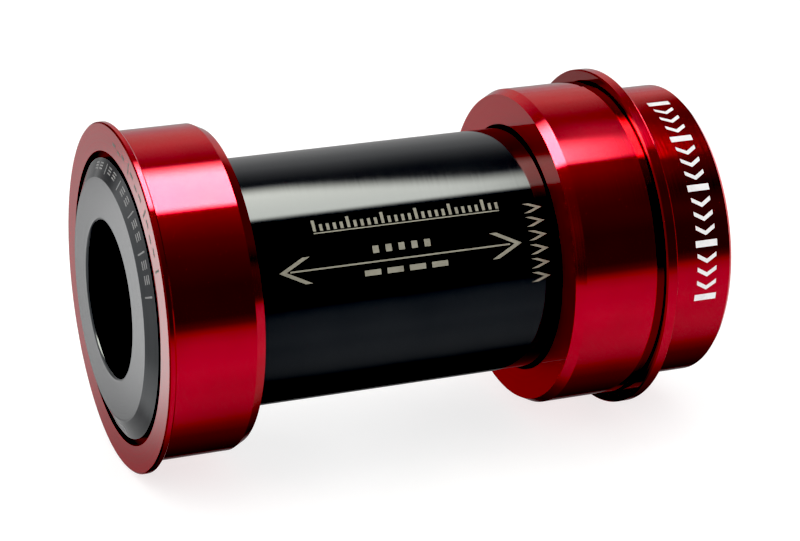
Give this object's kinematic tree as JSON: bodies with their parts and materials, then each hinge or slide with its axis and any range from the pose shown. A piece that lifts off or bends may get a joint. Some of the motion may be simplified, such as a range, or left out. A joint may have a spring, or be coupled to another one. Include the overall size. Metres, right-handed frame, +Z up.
{
  "type": "bottom bracket",
  "caption": "Press-fit bicycle bottom bracket: two flanged bearing cups joined by a telescoping centre sleeve, with dust covers and spinning inner rings.",
  "frame": {"origin": "on the spindle axis, halfway between the outer faces of the two dust covers, with the sleeve fully home", "axes": "+X along the spindle axis towards the drive side (the cup with the outboard barrel), +Z up"},
  "size_m": [0.087, 0.0492, 0.0493],
  "materials": {
    "red_anodised": "bright red anodised, fine turned texture",
    "black_sleeve": "glossy black anodised with pale laser marks",
    "black_cover": "satin black anodised",
    "bearing_steel": "ground bearing steel",
    "ball_steel": "polished",
    "cage_polymer": "moulded",
    "seal_rubber": "matt"
  },
  "bodies": {
    "right_cup_body": {"right_cup": "red_anodised", "right_outer_race": "bearing_steel", "right_outboard_seal": "seal_rubber", "right_inboard_seal": "seal_rubber", "right_sleeve_o_ring": "seal_rubber"},
    "sleeve": {"centre_sleeve": "black_sleeve"},
    "left_cup_body": {"left_cup": "red_anodised", "left_outer_race": "bearing_steel", "left_outboard_seal": "seal_rubber", "left_inboard_seal": "seal_rubber", "left_sleeve_o_ring": "seal_rubber"},
    "left_inner_ring": {"left_inner_race": "bearing_steel", "left_cover": "black_cover", "left_cover_lip": "seal_rubber"},
    "left_ball_train": {"left_balls": "ball_steel", "left_cage": "cage_polymer"},
    "right_inner_ring": {"right_inner_race": "bearing_steel", "right_cover": "black_cover", "right_cover_lip": "seal_rubber"},
    "right_ball_train": {"right_balls": "ball_steel", "right_cage": "cage_polymer"}
  },
  "joints": [
    {"name": "sleeve_slide", "type": "slide", "parent": "right_cup_body", "child": "sleeve", "axis": [-1, 0, 0], "range_m": [0, 0.0158]},
    {"name": "left_cup_slide", "type": "slide", "parent": "sleeve", "child": "left_cup_body", "axis": [-1, 0, 0], "range_m": [0, 0.0047]},
    {"name": "left_bearing_spin", "type": "hinge", "parent": "left_cup_body", "child": "left_inner_ring", "pos_m": [-0.03835, 0, 0], "axis": [1, 0, 0], "continuous": true},
    {"name": "left_cage_spin", "type": "hinge", "parent": "left_cup_body", "child": "left_ball_train", "pos_m": [-0.03835, 0, 0], "axis": [1, 0, 0], "continuous": true},
    {"name": "right_bearing_spin", "type": "hinge", "parent": "right_cup_body", "child": "right_inner_ring", "pos_m": [0.03835, 0, 0], "axis": [1, 0, 0], "continuous": true},
    {"name": "right_cage_spin", "type": "hinge", "parent": "right_cup_body", "child": "right_ball_train", "pos_m": [0.03835, 0, 0], "axis": [1, 0, 0], "continuous": true}
  ],
  "couplings": [
    {"joint": "left_cage_spin", "follows": "left_bearing_spin", "ratio": 0.44355},
    {"joint": "right_cage_spin", "follows": "right_bearing_spin", "ratio": 0.44355}
  ]
}
